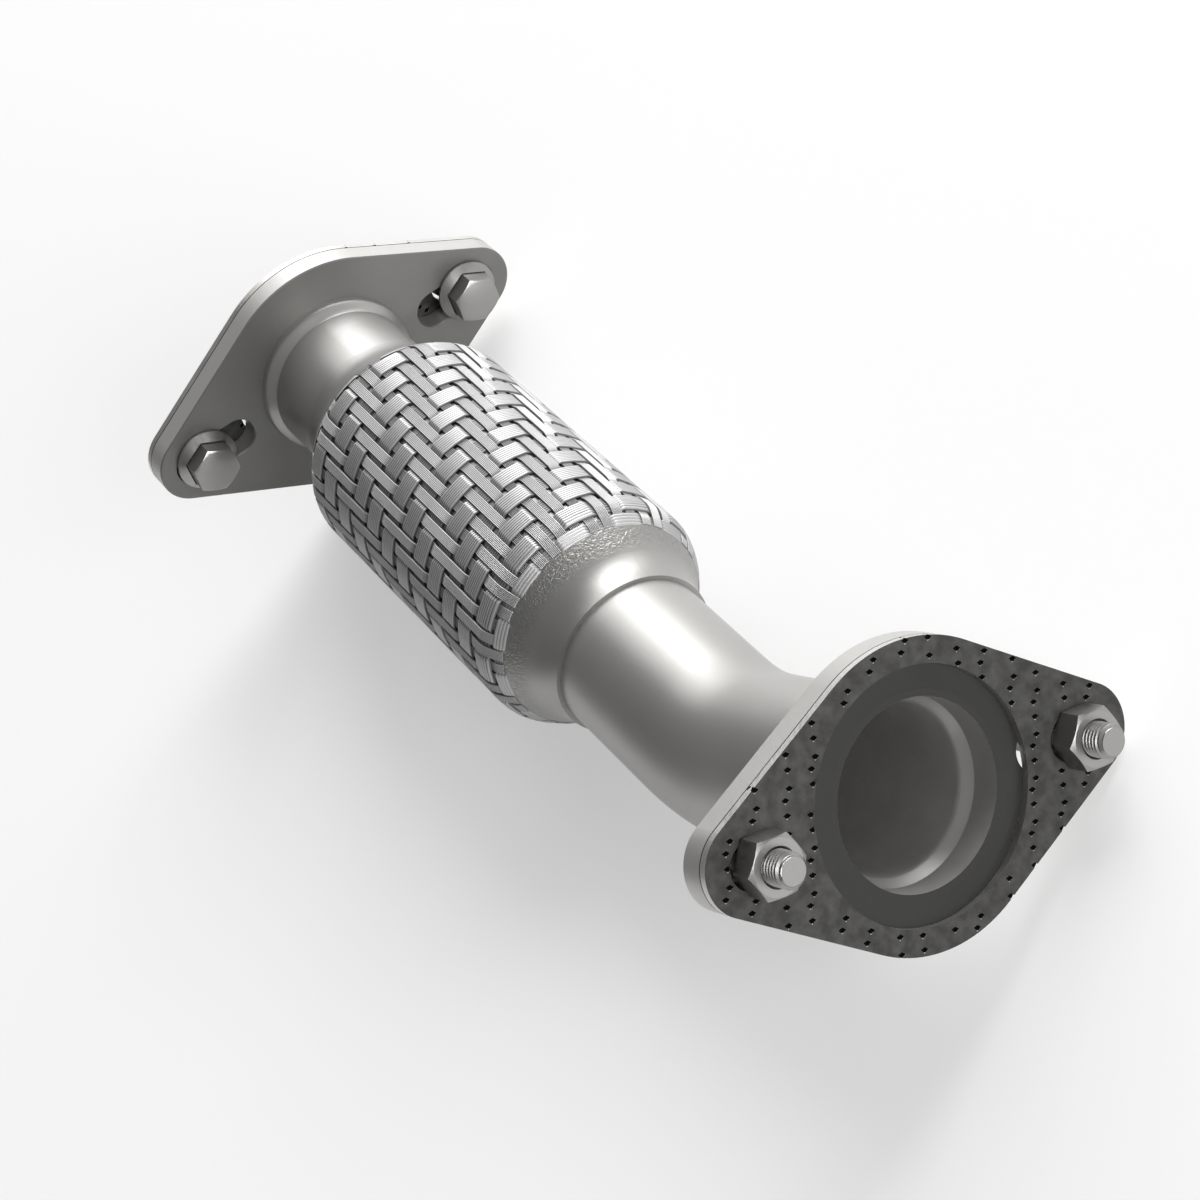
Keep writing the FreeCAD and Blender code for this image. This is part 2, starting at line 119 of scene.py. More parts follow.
def makeSteelSkin():    # broad cloudiness and a fine grain, for every steel here
    group, given, out = newGroup("steelSkin", (
        ("Cloud Scale", "NodeSocketFloat", 30.0),
        ("Grain Scale", "NodeSocketFloat", 900.0),
    ), (("Cloud", "NodeSocketFloat"), ("Grain", "NodeSocketFloat")))
    place = group.nodes.new("ShaderNodeTexCoord")
    for label, scaleName, detail in (("Cloud", "Cloud Scale", 3.0), ("Grain", "Grain Scale", 2.0)):
        noise = group.nodes.new("ShaderNodeTexNoise")
        noise.inputs["Detail"].default_value = detail
        group.links.new(place.outputs["Object"], noise.inputs["Vector"])
        group.links.new(given.outputs[scaleName], noise.inputs["Scale"])
        group.links.new(noise.outputs["Fac"], out.inputs[label])
    return group


def sizeAlong(group, vector, given):    # of a vector, measured along the group's axis
    product = addNode(group, "ShaderNodeVectorMath", operation="DOT_PRODUCT")
    group.links.new(vector, product.inputs[0])
    group.links.new(given.outputs["Axis"], product.inputs[1])
    return mathNode(group, "ABSOLUTE", product.outputs["Value"], 0.0)


def makeFacing():    # 1 on a surface that lies across an axis, 0 on one that runs along it
    group, given, out = newGroup(
        "facing", (("Axis", "NodeSocketVector", (1.0, 0.0, 0.0)),), (("Facing", "NodeSocketFloat"),))
    surface = group.nodes.new("ShaderNodeNewGeometry")
    group.links.new(sizeAlong(group, surface.outputs["True Normal"], given), out.inputs["Facing"])
    return group


def makeHeight():    # how far a point lies from a middle, along an axis
    group, given, out = newGroup("heightAlong", (
        ("Axis", "NodeSocketVector", (1.0, 0.0, 0.0)),
        ("Middle", "NodeSocketVector", (0.0, 0.0, 0.0)),
    ), (("Height", "NodeSocketFloat"),))
    place = group.nodes.new("ShaderNodeTexCoord")
    away = addNode(group, "ShaderNodeVectorMath", operation="SUBTRACT")
    group.links.new(place.outputs["Object"], away.inputs[0])
    group.links.new(given.outputs["Middle"], away.inputs[1])
    group.links.new(sizeAlong(group, away.outputs["Vector"], given), out.inputs["Height"])
    return group


steelSkin = makeSteelSkin()
facing = makeFacing()
heightAlong = makeHeight()
print("shader groups made")


# What the materials are put together from

cloudEnds = (0.3, 0.7)    # most of the cloudiness lies between these
grainDepth = 0.0002


def useGroup(tree, group, **values):
    node = addNode(tree, "ShaderNodeGroup", node_tree=group)
    for name, value in values.items():
        node.inputs[name.replace("_", " ")].default_value = value
    return node


def ramp(tree, source, stops):
    node = tree.nodes.new("ShaderNodeValToRGB")
    tree.links.new(source, node.inputs["Fac"])
    while len(node.color_ramp.elements) < len(stops):
        node.color_ramp.elements.new(0.5)
    for element, (place, shade) in zip(node.color_ramp.elements, stops):
        element.position = place
        element.color = (*shade, 1.0) if isinstance(shade, tuple) else (shade, shade, shade, 1.0)
    return node.outputs["Color"]


def cloudRamp(tree, skin, low, high):
    return ramp(tree, skin.outputs["Cloud"], tuple(zip(cloudEnds, (low, high))))


def bump(tree, height, strength, distance, normal=None):
    node = tree.nodes.new("ShaderNodeBump")
    node.inputs["Strength"].default_value = strength
    node.inputs["Distance"].default_value = distance
    tree.links.new(height, node.inputs["Height"])
    if normal:
        tree.links.new(normal, node.inputs["Normal"])
    return node.outputs["Normal"]


def mixColours(tree, share, first, second, way="MIX"):
    mix = addNode(tree, "ShaderNodeMix", data_type="RGBA", blend_type=way)
    colours = [socket for socket in mix.inputs if socket.type == "RGBA"]
    for socket, value in zip((mix.inputs["Factor"], *colours), (share, first, second)):
        if isinstance(value, bpy.types.NodeSocket):
            tree.links.new(value, socket)
        else:
            socket.default_value = (*value, 1.0) if isinstance(value, tuple) else value
    return next(socket for socket in mix.outputs if socket.type == "RGBA")


def newMaterial(name, **values):    # the values are the shader's own inputs
    material = bpy.data.materials.new(name)
    material.use_nodes = True
    shader = material.node_tree.nodes["Principled BSDF"]
    for label, value in values.items():
        shader.inputs[label.replace("_", " ")].default_value = value
    return material, material.node_tree, shader


def makeSteel(name, shade, rough, cloudiness=0.06, grain=0.1, grainScale=900.0, cloudScale=30.0):
    steel, tree, shader = newMaterial(name, Metallic=1.0)
    skin = useGroup(tree, steelSkin, Cloud_Scale=cloudScale, Grain_Scale=grainScale)
    dark = tuple(part * (1 - cloudiness) for part in shade)
    pale = tuple(part * (1 + cloudiness) for part in shade)
    tree.links.new(cloudRamp(tree, skin, dark, pale), shader.inputs["Base Color"])
    roughness = cloudRamp(tree, skin, rough + cloudiness, rough - cloudiness)
    tree.links.new(roughness, shader.inputs["Roughness"])
    tree.links.new(bump(tree, skin.outputs["Grain"], grain, grainDepth), shader.inputs["Normal"])
    return steel


plainLooks = {
    "underWire": {"shade": (0.30, 0.30, 0.30), "rough": 0.5, "grain": 0.6, "grainScale": 1500.0},
    "bellowsSteel": {"shade": (0.48, 0.47, 0.45), "rough": 0.30},
    "boltSteel": {"shade": (0.35, 0.345, 0.334), "rough": 0.38, "grain": 0.15},
}
underWire, bellowsSteel, boltSteel = (makeSteel(name, **look) for name, look in plainLooks.items())
print("steels mixed")


# Flanges

flangeLook = {
    "metallic": 0.7,
    # painted light and painted shade: each flange's faces get their own grey for how the light falls on
    # them, the inlet's lit and the outlet's shaded
    "inletLitFace": 0.21,
    "outletShadedFace": 0.04,
    "faceDark": (0.9, 0.89, 0.86),    # times the shade
    "facePale": (1.1, 1.09, 1.05),
    # partly painted highlight: the cut sides are paler than the faces
    "litSideDark": (0.48, 0.473, 0.457),
    "litSidePale": (0.56, 0.552, 0.533),
    "sideEnds": (0.25, 0.5),    # how far a surface may face along the axis and still be a cut side
    "roughEnds": (0.5, 0.38),
    "cloudScale": 25.0,
    "grainScale": 700.0,
    "grain": 0.2,
}


def makeFlangeSteel(name, axis, shade):    # dark rolled faces, and paler sides where the plate was cut, partly bare cut steel and partly a painted highlight
    steel, tree, shader = newMaterial(name, Metallic=flangeLook["metallic"])
    skin = useGroup(
        tree, steelSkin, Cloud_Scale=flangeLook["cloudScale"], Grain_Scale=flangeLook["grainScale"])
    across = useGroup(tree, facing, Axis=tuple(axis))
    litCutSide = ramp(tree, across.outputs["Facing"], tuple(zip(flangeLook["sideEnds"], (1.0, 0.0))))
    dark = tuple(shade * part for part in flangeLook["faceDark"])
    pale = tuple(shade * part for part in flangeLook["facePale"])
    face = cloudRamp(tree, skin, dark, pale)
    side = cloudRamp(tree, skin, flangeLook["litSideDark"], flangeLook["litSidePale"])
    tree.links.new(mixColours(tree, litCutSide, face, side), shader.inputs["Base Color"])
    tree.links.new(cloudRamp(tree, skin, *flangeLook["roughEnds"]), shader.inputs["Roughness"])
    grain = bump(tree, skin.outputs["Grain"], flangeLook["grain"], grainDepth)
    tree.links.new(grain, shader.inputs["Normal"])
    return steel


# Tubes

tubeLook = {
    "metallic": 0.75,
    "rough": 0.40,
    "wallDark": (0.41, 0.404, 0.391),
    "wallPale": (0.45, 0.443, 0.428),
    # painted shade on the tube's end face
    "shadedEndFace": (0.045, 0.044, 0.043),
    "endEnds": (0.93, 0.97),    # how far a surface faces along the axis where the end face begins
    "grain": 0.1,
}
boreLook = {
    "metallic": 0.3,
    "rough": 0.55,
    "dark": (0.36, 0.355, 0.342),
    "pale": (0.43, 0.424, 0.408),
    "cloudScale": 60.0,
    "grain": 0.2,
}


def makeTubeSteel(name, axis):    # the tube's end face is painted as dark as the flange around it, a painted shade
    steel, tree, shader = newMaterial(name, Metallic=tubeLook["metallic"], Roughness=tubeLook["rough"])
    skin = useGroup(tree, steelSkin)
    across = useGroup(tree, facing, Axis=tuple(axis))
    wall = cloudRamp(tree, skin, tubeLook["wallDark"], tubeLook["wallPale"])
    shadedEndFace = ramp(tree, across.outputs["Facing"], tuple(zip(tubeLook["endEnds"], (0.0, 1.0))))
    tree.links.new(mixColours(tree, shadedEndFace, wall, tubeLook["shadedEndFace"]), shader.inputs["Base Color"])
    grain = bump(tree, skin.outputs["Grain"], tubeLook["grain"], grainDepth)
    tree.links.new(grain, shader.inputs["Normal"])
    return steel


def makeBoreSteel():    # a duller skin inside the tubes
    steel, tree, shader = newMaterial(
        "boreSteel", Metallic=boreLook["metallic"], Roughness=boreLook["rough"])
    skin = useGroup(tree, steelSkin, Cloud_Scale=boreLook["cloudScale"])
    shades = cloudRamp(tree, skin, boreLook["dark"], boreLook["pale"])
    tree.links.new(shades, shader.inputs["Base Color"])
    grain = bump(tree, skin.outputs["Grain"], boreLook["grain"], grainDepth)
    tree.links.new(grain, shader.inputs["Normal"])
    return steel


# Braid wire

wireLook = {
    "metallic": 0.8,
    "edgeTint": (0.45, 0.45, 0.45, 1.0),
    "crestDark": 0.53,
    "crestPale": 0.60,
    # the grooves' colour is painted shade
    "groove": (0.08, 0.08, 0.08),
    "brightFrom": 0.75,    # painted light from which a wire is as bright as its crest
    "roughEnds": (0.6, 0.5),
    "cloudScale": 60.0,
    "grainScale": 1200.0,
    "grain": 0.15,
    "grainDepth": 0.0001,
}


def makeBraidWire():    # painted light: the wires' crests are bright, and the grooves between them, the bands' sides and the bands lying below are painted dark as painted shade
    steel, tree, shader = newMaterial(
        "braidWire", Metallic=wireLook["metallic"], Specular_Tint=wireLook["edgeTint"])
    skin = useGroup(
        tree, steelSkin, Cloud_Scale=wireLook["cloudScale"], Grain_Scale=wireLook["grainScale"])
    paintedLight = addNode(tree, "ShaderNodeAttribute", attribute_name="paintedLight")
    crest = cloudRamp(tree, skin, wireLook["crestDark"], wireLook["crestPale"])
    # painted shade: the colour darkens towards the grooves, the bands' sides and the bands lying below
    shade = ramp(tree, paintedLight.outputs["Fac"], ((0.0, 0.0), (wireLook["brightFrom"], 1.0)))
    tree.links.new(mixColours(tree, shade, wireLook["groove"], crest), shader.inputs["Base Color"])
    rough = ramp(tree, paintedLight.outputs["Fac"], tuple(zip((0.0, 1.0), wireLook["roughEnds"])))
    tree.links.new(rough, shader.inputs["Roughness"])
    grain = bump(tree, skin.outputs["Grain"], wireLook["grain"], wireLook["grainDepth"])
    tree.links.new(grain, shader.inputs["Normal"])
    return steel


# End caps

capLook = {
    "metallic": 0.8,
    "rough": 0.40,
    "dark": (0.37, 0.365, 0.353),
    "pale": (0.41, 0.404, 0.391),
    "rippleStart": 0.0715,    # half length at which the cap turns smooth, in metres
    "rippleFull": 0.0655,
    "rippleScale": (1100.0, 800.0, 800.0),
    "rippleDetail": 1.0,
    "rippleDistortion": 1.0,
    "paintedRippleShade": (0.66, 0.66, 0.65),
    "rippleDepth": 0.00027,
    "grain": 0.1,
}


def rippleHeight(tree):
    half = useGroup(tree, heightAlong, Axis=tuple(alongPipe), Middle=tuple(boxMiddle("outer_braid")))
    near = addNode(tree, "ShaderNodeMapRange", interpolation_type="SMOOTHSTEP")
    tree.links.new(half.outputs["Height"], near.inputs["Value"])
    near.inputs["From Min"].default_value = capLook["rippleStart"]
    near.inputs["From Max"].default_value = capLook["rippleFull"]
    place = tree.nodes.new("ShaderNodeTexCoord")
    scaled = tree.nodes.new("ShaderNodeMapping")
    scaled.inputs["Scale"].default_value = capLook["rippleScale"]
    tree.links.new(place.outputs["Object"], scaled.inputs["Vector"])
    ripple = tree.nodes.new("ShaderNodeTexNoise")
    ripple.inputs["Scale"].default_value = 1.0
    ripple.inputs["Detail"].default_value = capLook["rippleDetail"]
    ripple.inputs["Distortion"].default_value = capLook["rippleDistortion"]
    tree.links.new(scaled.outputs["Vector"], ripple.inputs["Vector"])
    return mathNode(tree, "MULTIPLY", ripple.outputs["Fac"], near.outputs["Result"])


def makeCapSteel():    # pressed down over the wires' ends, so it ripples next to them, and the ripples get painted shade in its colour
    steel, tree, shader = newMaterial(
        "capSteel", Metallic=capLook["metallic"], Roughness=capLook["rough"])
    skin = useGroup(tree, steelSkin)
    shades = cloudRamp(tree, skin, capLook["dark"], capLook["pale"])
    height = rippleHeight(tree)
    # painted shade: the colour darkens with the ripples next to the braid
    rippleShading = mixColours(tree, height, (1.0, 1.0, 1.0), capLook["paintedRippleShade"])
    tree.links.new(mixColours(tree, 1.0, shades, rippleShading, "MULTIPLY"), shader.inputs["Base Color"])
    grain = bump(tree, skin.outputs["Grain"], capLook["grain"], grainDepth)
    tree.links.new(bump(tree, height, 1.0, capLook["rippleDepth"], grain), shader.inputs["Normal"])
    return steel


# lit and shaded copies of one flange steel
inletFlangeSteel = makeFlangeSteel("inletFlangeSteel", inletOut, flangeLook["inletLitFace"])
outletFlangeSteel = makeFlangeSteel("outletFlangeSteel", outletOut, flangeLook["outletShadedFace"])
inletTubeSteel = makeTubeSteel("inletTubeSteel", inletOut)
outletTubeSteel = makeTubeSteel("outletTubeSteel", outletOut)
boreSteel = makeBoreSteel()
braidWire = makeBraidWire()
capSteel = makeCapSteel()
print("flanges, braid and caps finished")

nodeFinish = {
    "inlet_pipe": inletTubeSteel, "outlet_pipe": outletTubeSteel,
    "inlet_flange": inletFlangeSteel, "outlet_flange": outletFlangeSteel,
    "inlet_end_cap": capSteel, "outlet_end_cap": capSteel,
    "bellows": bellowsSteel, "liner": bellowsSteel,
}
for nodeName, node in nodes.items():
    node.data.materials.clear()
    node.data.materials.append(nodeFinish.get(nodeName, boltSteel))


def nodeShape(node):    # a solid's own surface, joined up
    shape = bmesh.new()
    shape.from_mesh(nodes[node].data)
    bmesh.ops.remove_doubles(shape, verts=shape.verts, dist=weldGap)
    return shape


def newPiece(name, shape, finishes, replaced, sharpAngle=40):
    mesh = bpy.data.meshes.new(name)
    shape.to_mesh(mesh)
    shape.free()
    for finish in finishes:
        mesh.materials.append(finish)
    mesh.shade_smooth()
    mesh.set_sharp_from_angle(angle=math.radians(sharpAngle))
    piece = bpy.data.objects.new(name, mesh)
    bpy.context.scene.collection.objects.link(piece)
    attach(piece, "root")
    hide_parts(*replaced)


# Braid: 48 bands of wire along the section, woven over two and under two of the hoops around it

braid = {    # in millimetres and degrees
    "straightBands": 48,
    "straightWires": 7,
    "straightWidth": 3.4,
    "firstBandAngle": 8.95,
    "turn": -1.5,            # of the whole weave about the pipe
    "spread": 2.2,           # how far a band may lie from its even place
    "spreadMiddle": 45.0,    # the bands lie widest apart here
    "hoopPitch": 9.82,
    "hoopShift": 0.55,
    "hoopWires": 7,
    "hoopWidth": 6.7,
    "hoopCount": 12,
    "outerRadius": 38.36,
    "bandThick": 0.7,
    "grooveDepth": 0.24,     # between two wires of a band
    "crestEnds": (0.28, 0.72),    # of a wire's width
    "crossing": 0.04,        # left free between a band on top and the one below it
    "straightSwing": 1.6,    # half the length over which a straight band changes level
    "hoopSwing": 1.3,        # the same for a hoop, in degrees
    "bendHalf": 54.5,        # from here the braid closes in on the end cap
    "landHalf": 58.5,        # and here it lies on it
    "endHalf": 62.3,
    "closingStep": 1.5,      # between cuts of a band that closes in
    "closingSteps": 6,
    "sinkHalf": 57.0,        # past this it is pressed into the cap's ripples
    "sink": 0.75,
    "squeeze": 0.4,          # height lost there by a band that lies on top
    "capShoulder": 36.1,     # the end cap's own radius, up to this half length
    "capShoulderHalf": 56.0,
    "capArc": 12.0,
    "edgeWires": 4,
    "edgeWireThick": 0.95,
    "edgeWireSides": 6,
    "edgeWireFirst": 59.75,
    "edgeWirePitch": 0.85,
    "underRadius": 36.85,
    "underThick": 0.25,
    "underLift": 0.1,        # above the end cap
    "underSteps": 96,
    "lowBandLight": 0.35,         # painted shade: how bright a wire stays where its band lies below
    # painted shade: how bright a band's sides stay
    "bandSideLight": 0.25,
}
weaveCycle = 4    # over two and under two
nearby = 0.01    # what is nearer than this counts as the same place
bandStep = 360 / braid["straightBands"]
hoopWeave = (braid["firstBandAngle"] + bandStep / 2, weaveCycle * bandStep, braid["hoopSwing"])


def straightWeave(phase):    # where a band lies on top, how often, and how fast it changes level
    middle = (phase - weaveCycle / 2) * braid["hoopPitch"] + braid["hoopShift"]
    return middle, weaveCycle * braid["hoopPitch"], braid["straightSwing"]


def smooth(value):
    value = min(1.0, max(0.0, value))
    return value * value * (3 - 2 * value)


def onTop(place, middle, period, swing):    # 1 where a band lies on top, 0 where it lies below
    away = abs((place - middle + period / 2) % period - period / 2)
    return smooth((period / 4 + swing - away) / (2 * swing))


def levelPlaces(first, last, middle, period, swing):    # close together only where a band changes level
    half = period / 2
    offsets = [swing * step / 3 for step in range(-3, 4)] + [half / 2]
    start = math.floor((first - middle) / half) - 1
    places = [middle + period / 4 + (start + count) * half + offset
              for count in range(int((last - first) / half) + 4) for offset in offsets]
    inside = [place for place in places if first + nearby < place < last - nearby]
    return sorted([first, last] + inside)


def closedOutline(shape, points):
    corners = [shape.verts.new(point) for point in points]
    for number, corner in enumerate(corners):
        shape.edges.new((corner, corners[(number + 1) % len(corners)]))
    return corners


def bandSection(shape, width, wires):    # a band's closed outline, in the plane of Y and Z
    half, wide = braid["bandThick"] / 2, width / wires
    groove = half - braid["grooveDepth"]
    outline = [(-width / 2, -half)]
    for wire in range(wires):
        left = -width / 2 + wire * wide
        outline += [(left, groove)] + [(left + share * wide, half) for share in braid["crestEnds"]]
    outline += [(width / 2, groove), (width / 2, -half)]
    return closedOutline(shape, [(0, y, z) for y, z in outline])


def capRadius(along):
    past = max(0.0, abs(along) - braid["capShoulderHalf"])
    return braid["capShoulder"] - braid["capArc"] + math.sqrt(braid["capArc"] ** 2 - past ** 2)


def bandRadius(top, along):    # the middle of a band's thickness
    step = braid["bandThick"] + braid["crossing"]
    free = braid["outerRadius"] - braid["bandThick"] / 2 - step
    pressed = max(0.0, abs(along) - braid["sinkHalf"]) / (braid["endHalf"] - braid["sinkHalf"])
    closed = capRadius(along) + braid["bandThick"] / 2 - braid["sink"] * pressed
    landed = smooth((abs(along) - braid["bendHalf"]) / (braid["landHalf"] - braid["bendHalf"]))
    return free + (closed - free) * landed + top * (step - braid["squeeze"] * pressed)


def spreadAngle(angle):
    lean = math.sin(math.radians(angle - braid["spreadMiddle"]))
    return angle + braid["turn"] + braid["spread"] * lean


def paintedLightOf(height, top, atSide):    # height is above the middle of the band's thickness; the result is painted light, low in the grooves, on the sides and where a band lies below
    crest = (height - braid["bandThick"] / 2) / braid["grooveDepth"] + 1
    crest = min(1.0, max(braid["bandSideLight"] if atSide else 0.0, crest))
    return crest * (braid["lowBandLight"] + (1 - braid["lowBandLight"]) * top)


def paintedLightShape():
    shape = bmesh.new()
    # a layer of painted light and shade for each corner
    return shape, shape.verts.layers.float.new("paintedLight")


def straightBand(phase):
    shape, paintedLight = paintedLightShape()
    weave = straightWeave(phase)
    bandSection(shape, braid["straightWidth"], braid["straightWires"])
    end = braid["endHalf"]
    closing = [side * (braid["bendHalf"] + braid["closingStep"] * step)
               for side in (-1, 1) for step in range(braid["closingSteps"])]
    places = sorted(set(levelPlaces(-end, end, *weave) + closing))
    bmesh.ops.spin(
        shape, geom=shape.verts[:] + shape.edges[:], cent=(0, 0, 0), axis=(1, 0, 0),
        dvec=(1, 0, 0), angle=0.0, steps=len(places) - 1)
    bmesh.ops.holes_fill(shape, edges=shape.edges, sides=0)
    for vert in shape.verts:
        vert.co.x = places[round(vert.co.x)]
        top = onTop(vert.co.x, *weave)
        vert[paintedLight] = paintedLightOf(vert.co.z, top, abs(vert.co.y) > braid["straightWidth"] / 2 - nearby)
        vert.co.z += bandRadius(top, vert.co.x)
    return shape


def addShape(whole, part, matrix):    # a copy of one shape inside another
    mesh = bpy.data.meshes.new("part")
    part.to_mesh(mesh)
    mesh.transform(matrix)
    whole.from_mesh(mesh)
    bpy.data.meshes.remove(mesh)


def makeStraightBands():
    whole = bmesh.new()
    templates = [straightBand(phase) for phase in range(weaveCycle)]
    for band in range(braid["straightBands"]):
        angle = spreadAngle(braid["firstBandAngle"] + band * bandStep) - 90
        lift = Matrix.Rotation(math.radians(angle), 4, "X")
        addShape(whole, templates[band % weaveCycle], flexSection @ lift)
    for template in templates:
        template.free()
    bmesh.ops.recalc_face_normals(whole, faces=whole.faces)
    newPiece(
        "braid_straight_bands", whole, [braidWire], ["outer_braid"], sharpAngle=80)


def spinOutline(shape, steps):
    bmesh.ops.spin(
        shape, geom=shape.verts[:] + shape.edges[:], cent=(0, 0, 0), axis=(1, 0, 0),
        angle=math.radians(360), steps=steps, use_merge=True)


def weaveRing(shape, paintedLight, along, hoop):    # an outline 1 + height from the axis goes round, up and down
    first = hoopWeave[0] + hoopWeave[1] / 4
    places = levelPlaces(first, first + 360, *hoopWeave)
    steps = len(places) - 1
    spinOutline(shape, steps)
    for vert in shape.verts:
        turn = math.degrees(math.atan2(vert.co.z, vert.co.y)) % 360
        angle = places[round(turn / 360 * steps) % steps]
        top = onTop(angle, *hoopWeave)
        height = math.hypot(vert.co.y, vert.co.z) - 1.0
        vert[paintedLight] = paintedLightOf(height, top, abs(vert.co.x) > braid["hoopWidth"] / 2 - nearby)
        radius = height + bandRadius(top, along + vert.co.x)
        turned = math.radians(spreadAngle(angle + hoop * bandStep))
        vert.co = (vert.co.x + along, radius * math.cos(turned), radius * math.sin(turned))


def hoopBand(along, hoop):
    shape, paintedLight = paintedLightShape()
    for corner in bandSection(shape, braid["hoopWidth"], braid["hoopWires"]):
        corner.co = (corner.co.y, corner.co.z + 1.0, 0)
    weaveRing(shape, paintedLight, along, hoop)
    return shape


def edgeWire(along, hoop):    # the last hoop shows only a few wires past the straight bands' turn
    shape, paintedLight = paintedLightShape()
    bmesh.ops.create_circle(
        shape, cap_ends=False, segments=braid["edgeWireSides"], radius=braid["edgeWireThick"] / 2)
    bmesh.ops.translate(shape, verts=shape.verts, vec=(0, 1.0, 0))
    weaveRing(shape, paintedLight, along, hoop)
    return shape


def makeHoops():
    whole = bmesh.new()
    half = braid["hoopCount"] // 2
    rings = [hoopBand((hoop + 0.5) * braid["hoopPitch"] + braid["hoopShift"], hoop)
             for hoop in range(-half, half)]
    for side, hoop in ((-1, -half - 1), (1, half)):
        for wire in range(braid["edgeWires"]):
            along = braid["edgeWireFirst"] + wire * braid["edgeWirePitch"]
            rings.append(edgeWire(side * along, hoop))
    for ring in rings:
        addShape(whole, ring, flexSection)
        ring.free()
    bmesh.ops.recalc_face_normals(whole, faces=whole.faces)
    newPiece("braid_hoops", whole, [braidWire], ["outer_braid"], sharpAngle=80)


def makeUnderlayer():    # the wires of the layer below, seen between the bands
    shape = bmesh.new()
    half, end = braid["bendHalf"], braid["landHalf"]
    low, high = capRadius(end) + braid["underLift"], braid["underRadius"]
    outer = [(-end, low), (-half, high), (half, high), (end, low)]
    inner = [(x, y - braid["underThick"]) for x, y in reversed(outer)]
    closedOutline(shape, [(x, y, 0) for x, y in outer + inner])
    spinOutline(shape, braid["underSteps"])
    bmesh.ops.transform(shape, matrix=flexSection, verts=shape.verts)
    bmesh.ops.recalc_face_normals(shape, faces=shape.faces)
    newPiece("braid_underlayer", shape, [underWire], ["outer_braid"], sharpAngle=60)


makeStraightBands()
makeHoops()
makeUnderlayer()
print("braid woven")


# Tubes: the bore's skin is duller than the outside

tubeInside = {
    "reach": 0.08,     # an inner face meets the wall opposite within this length
    "offset": 0.0001,
}


def makeTube(end, finish):
    node = f"{end}_pipe"
    shape = nodeShape(node)
    walls = BVHTree.FromBMesh(shape)
    for face in shape.faces:
        start = face.calc_center_median() + face.normal * tubeInside["offset"]
        if walls.ray_cast(start, face.normal, tubeInside["reach"])[0]:
            face.material_index = 1
    newPiece(f"{end}_tube", shape, [finish, boreSteel], [node], sharpAngle=25)


makeTube("inlet", inletTubeSteel)
makeTube("outlet", outletTubeSteel)
print("tubes lined")


# Gaskets: graphite faces, a bright steel core at the rims, and pits where its tangs come through,
# painted black as painted shade where they are deep

gasket = {
    "thick": 0.0022,
    "levelGap": 0.02,    # of the thickness: as near as this, a corner lies on a face
    "rimTurn": 0.1,      # radians by which the faces of one rim may turn away from each other
    "sheetMetallic": 0.2,
    "sheetDark": (0.042, 0.041, 0.039),
    "sheetPale": (0.082, 0.081, 0.077),
    "sheetEnds": (0.35, 0.7),
    "sheetRough": 0.62,
    "sheetGloss": 0.3,
    "sheetGrain": 0.5,
    "sheetCloudScale": 260.0,
    "sheetGrainScale": 1600.0,
    "rim": {
        "shade": (0.62, 0.61, 0.59), "rough": 0.4, "cloudiness": 0.1, "grain": 0.4, "cloudScale": 120.0},
    "pitPaintedShade": (0.001, 0.001, 0.001),
    "pitRough": 0.9,
    "pitGloss": 0.1,
    "pitCloudScale": 500.0,
    "lipShade": (0.42, 0.415, 0.404),
    "lipEnds": (0.88, 0.97),    # of half the thickness, where a pit's floor turns pale
    "lipCloudiness": 0.1,
}
rimNumber, pitNumber = 1, 2    # in the list of a gasket's materials


def makeSheetFace():
    sheet, tree, shader = newMaterial(
        "gasketSheet", Metallic=gasket["sheetMetallic"], Roughness=gasket["sheetRough"],
        Specular_IOR_Level=gasket["sheetGloss"])
    skin = useGroup(
        tree, steelSkin, Cloud_Scale=gasket["sheetCloudScale"], Grain_Scale=gasket["sheetGrainScale"])
    stops = tuple(zip(gasket["sheetEnds"], (gasket["sheetDark"], gasket["sheetPale"])))
    tree.links.new(ramp(tree, skin.outputs["Cloud"], stops), shader.inputs["Base Color"])
    both = mathNode(tree, "ADD", skin.outputs["Grain"], skin.outputs["Cloud"])
    tree.links.new(bump(tree, both, gasket["sheetGrain"], grainDepth), shader.inputs["Normal"])
    return sheet


def makePit(name, axis, middle):    # painted black as painted shade where it is deep, pale where its floor reaches the face
    pit, tree, shader = newMaterial(
        name, Roughness=gasket["pitRough"], Specular_IOR_Level=gasket["pitGloss"])
    skin = useGroup(tree, steelSkin, Cloud_Scale=gasket["pitCloudScale"])
    height = useGroup(tree, heightAlong, Axis=tuple(axis), Middle=tuple(middle))
    rise = mathNode(tree, "DIVIDE", height.outputs["Height"], gasket["thick"] / 2)
    cloud = mathNode(tree, "MULTIPLY", skin.outputs["Cloud"], gasket["lipCloudiness"])
    # painted shade: black where the pit is deep
    lip = tuple(zip(gasket["lipEnds"], (gasket["pitPaintedShade"], gasket["lipShade"])))
    shades = ramp(tree, mathNode(tree, "ADD", rise, cloud), ((0.0, gasket["pitPaintedShade"]), *lip))
    tree.links.new(shades, shader.inputs["Base Color"])
    return pit


gasketSheet = makeSheetFace()
gasketRim = makeSteel("gasketRim", **gasket["rim"])


